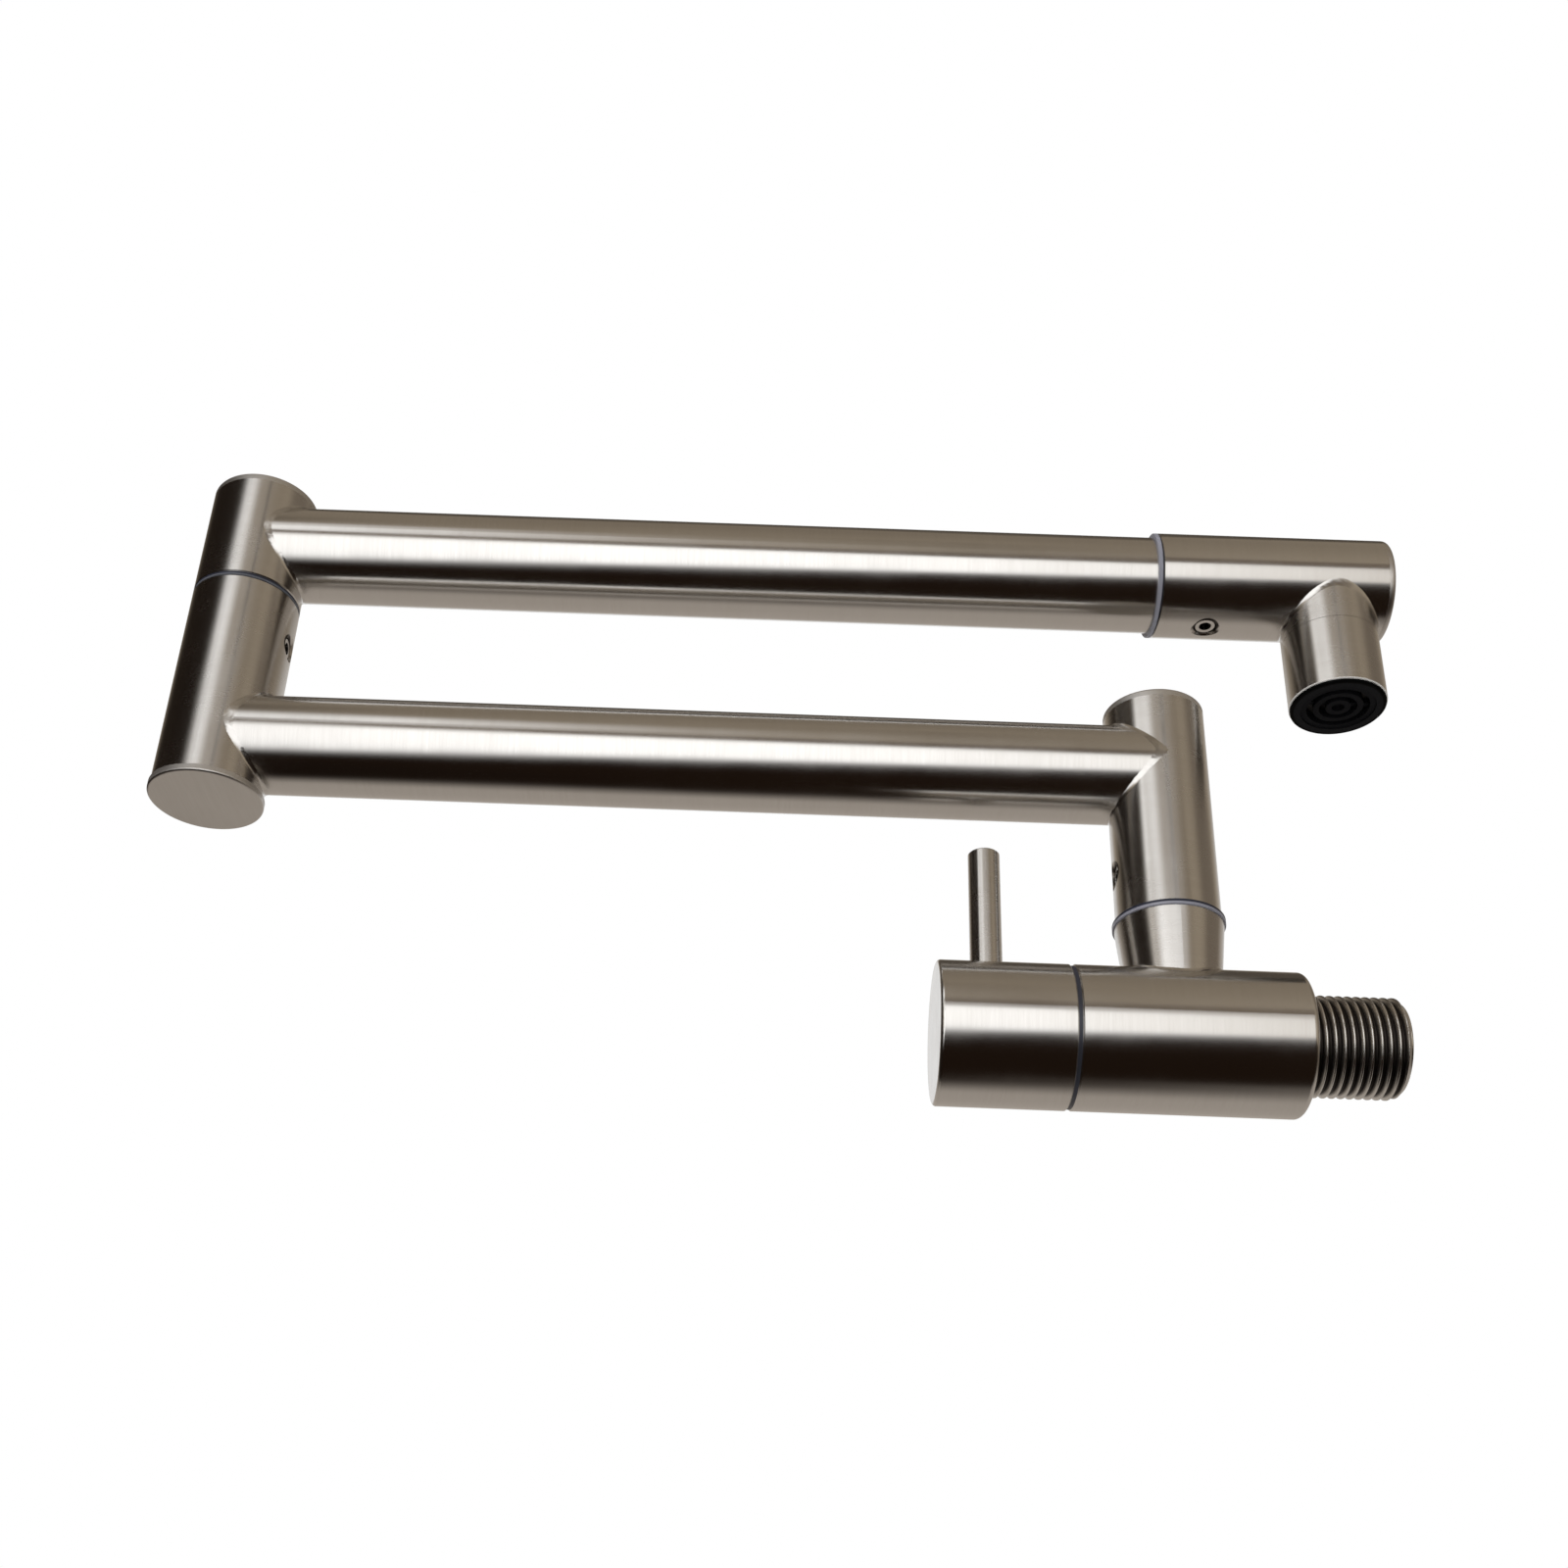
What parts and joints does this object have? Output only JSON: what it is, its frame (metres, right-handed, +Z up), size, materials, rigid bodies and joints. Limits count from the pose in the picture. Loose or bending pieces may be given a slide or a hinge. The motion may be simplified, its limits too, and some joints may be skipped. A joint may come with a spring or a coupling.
{
  "type": "wall-mounted kitchen faucet",
  "caption": "Folding wall-mounted kitchen faucet in brushed steel, with a lever valve, a riser, jointed swing arms and a turning head with a downward spout.",
  "frame": {"origin": "centre of the valve body's wall face, on the axis of the wall thread", "axes": "+Y along the wall thread's axis, out of the body and into the wall; +Z up; +X to the right of a person who faces the wall"},
  "size_m": [0.03, 0.2756, 0.1462],
  "materials": {
    "brushed_steel": "warm grey stainless steel, brushed along each tube",
    "machined_steel": "turned stainless steel, not brushed",
    "brass": "turned brass",
    "disc_ceramic": "lapped white ceramic",
    "seal_rubber": "smooth black rubber",
    "washer_plastic": "pale blue-grey low-friction plastic",
    "black_plastic": "moulded black plastic",
    "hub_plastic": "moulded white plastic"
  },
  "bodies": {
    "valve": {"valve_body": "brushed_steel", "inlet_nipple": "brushed_steel", "cartridge_housing": "brass", "cartridge_o_ring": "seal_rubber", "cartridge_seal": "seal_rubber", "fixed_disc": "disc_ceramic", "slip_ring": "washer_plastic", "riser_spigot": "brushed_steel", "riser_o_rings": "seal_rubber", "riser_washer": "washer_plastic"},
    "handle_turning": {"handle": "brushed_steel", "handle_hub": "hub_plastic", "lever": "brushed_steel", "spindle": "brass", "spindle_o_rings": "seal_rubber", "spindle_clip": "machined_steel", "moving_disc": "disc_ceramic"},
    "lower_swing_arm": {"riser_sleeve": "brushed_steel", "riser_cap": "brushed_steel", "riser_set_screw": "machined_steel", "lower_arm": "brushed_steel", "elbow_sleeve": "brushed_steel", "elbow_bottom_cap": "brushed_steel", "elbow_set_screw": "machined_steel", "elbow_washer": "washer_plastic"},
    "upper_swing_arm": {"elbow_post": "brushed_steel", "elbow_top_cap": "brushed_steel", "elbow_spigot": "machined_steel", "elbow_o_rings": "seal_rubber", "upper_arm": "brushed_steel", "head_spigot": "machined_steel", "head_o_rings": "seal_rubber", "head_washer": "washer_plastic"},
    "spout_head": {"head_sleeve": "brushed_steel", "head_end_cap": "brushed_steel", "head_set_screw": "machined_steel", "spout": "brushed_steel", "aerator_housing": "black_plastic", "aerator_face": "black_plastic", "aerator_screens": "machined_steel", "aerator_seal": "seal_rubber"}
  },
  "joints": [
    {"name": "handle_turn", "type": "hinge", "parent": "valve", "child": "handle_turning", "pos_m": [0, -0.0465, 0], "axis": [0, -1, 0], "range_deg": [0, 90]},
    {"name": "lower_arm_swing", "type": "hinge", "parent": "valve", "child": "lower_swing_arm", "pos_m": [0, -0.02475, 0.0267], "axis": [0, 0, 1], "continuous": true},
    {"name": "elbow_swing", "type": "hinge", "parent": "lower_swing_arm", "child": "upper_swing_arm", "pos_m": [0, -0.23265, 0.10155], "axis": [0, 0, 1], "continuous": true},
    {"name": "head_turn", "type": "hinge", "parent": "upper_swing_arm", "child": "spout_head", "pos_m": [0, -0.02225, 0.1169], "axis": [0, 1, 0], "continuous": true}
  ]
}
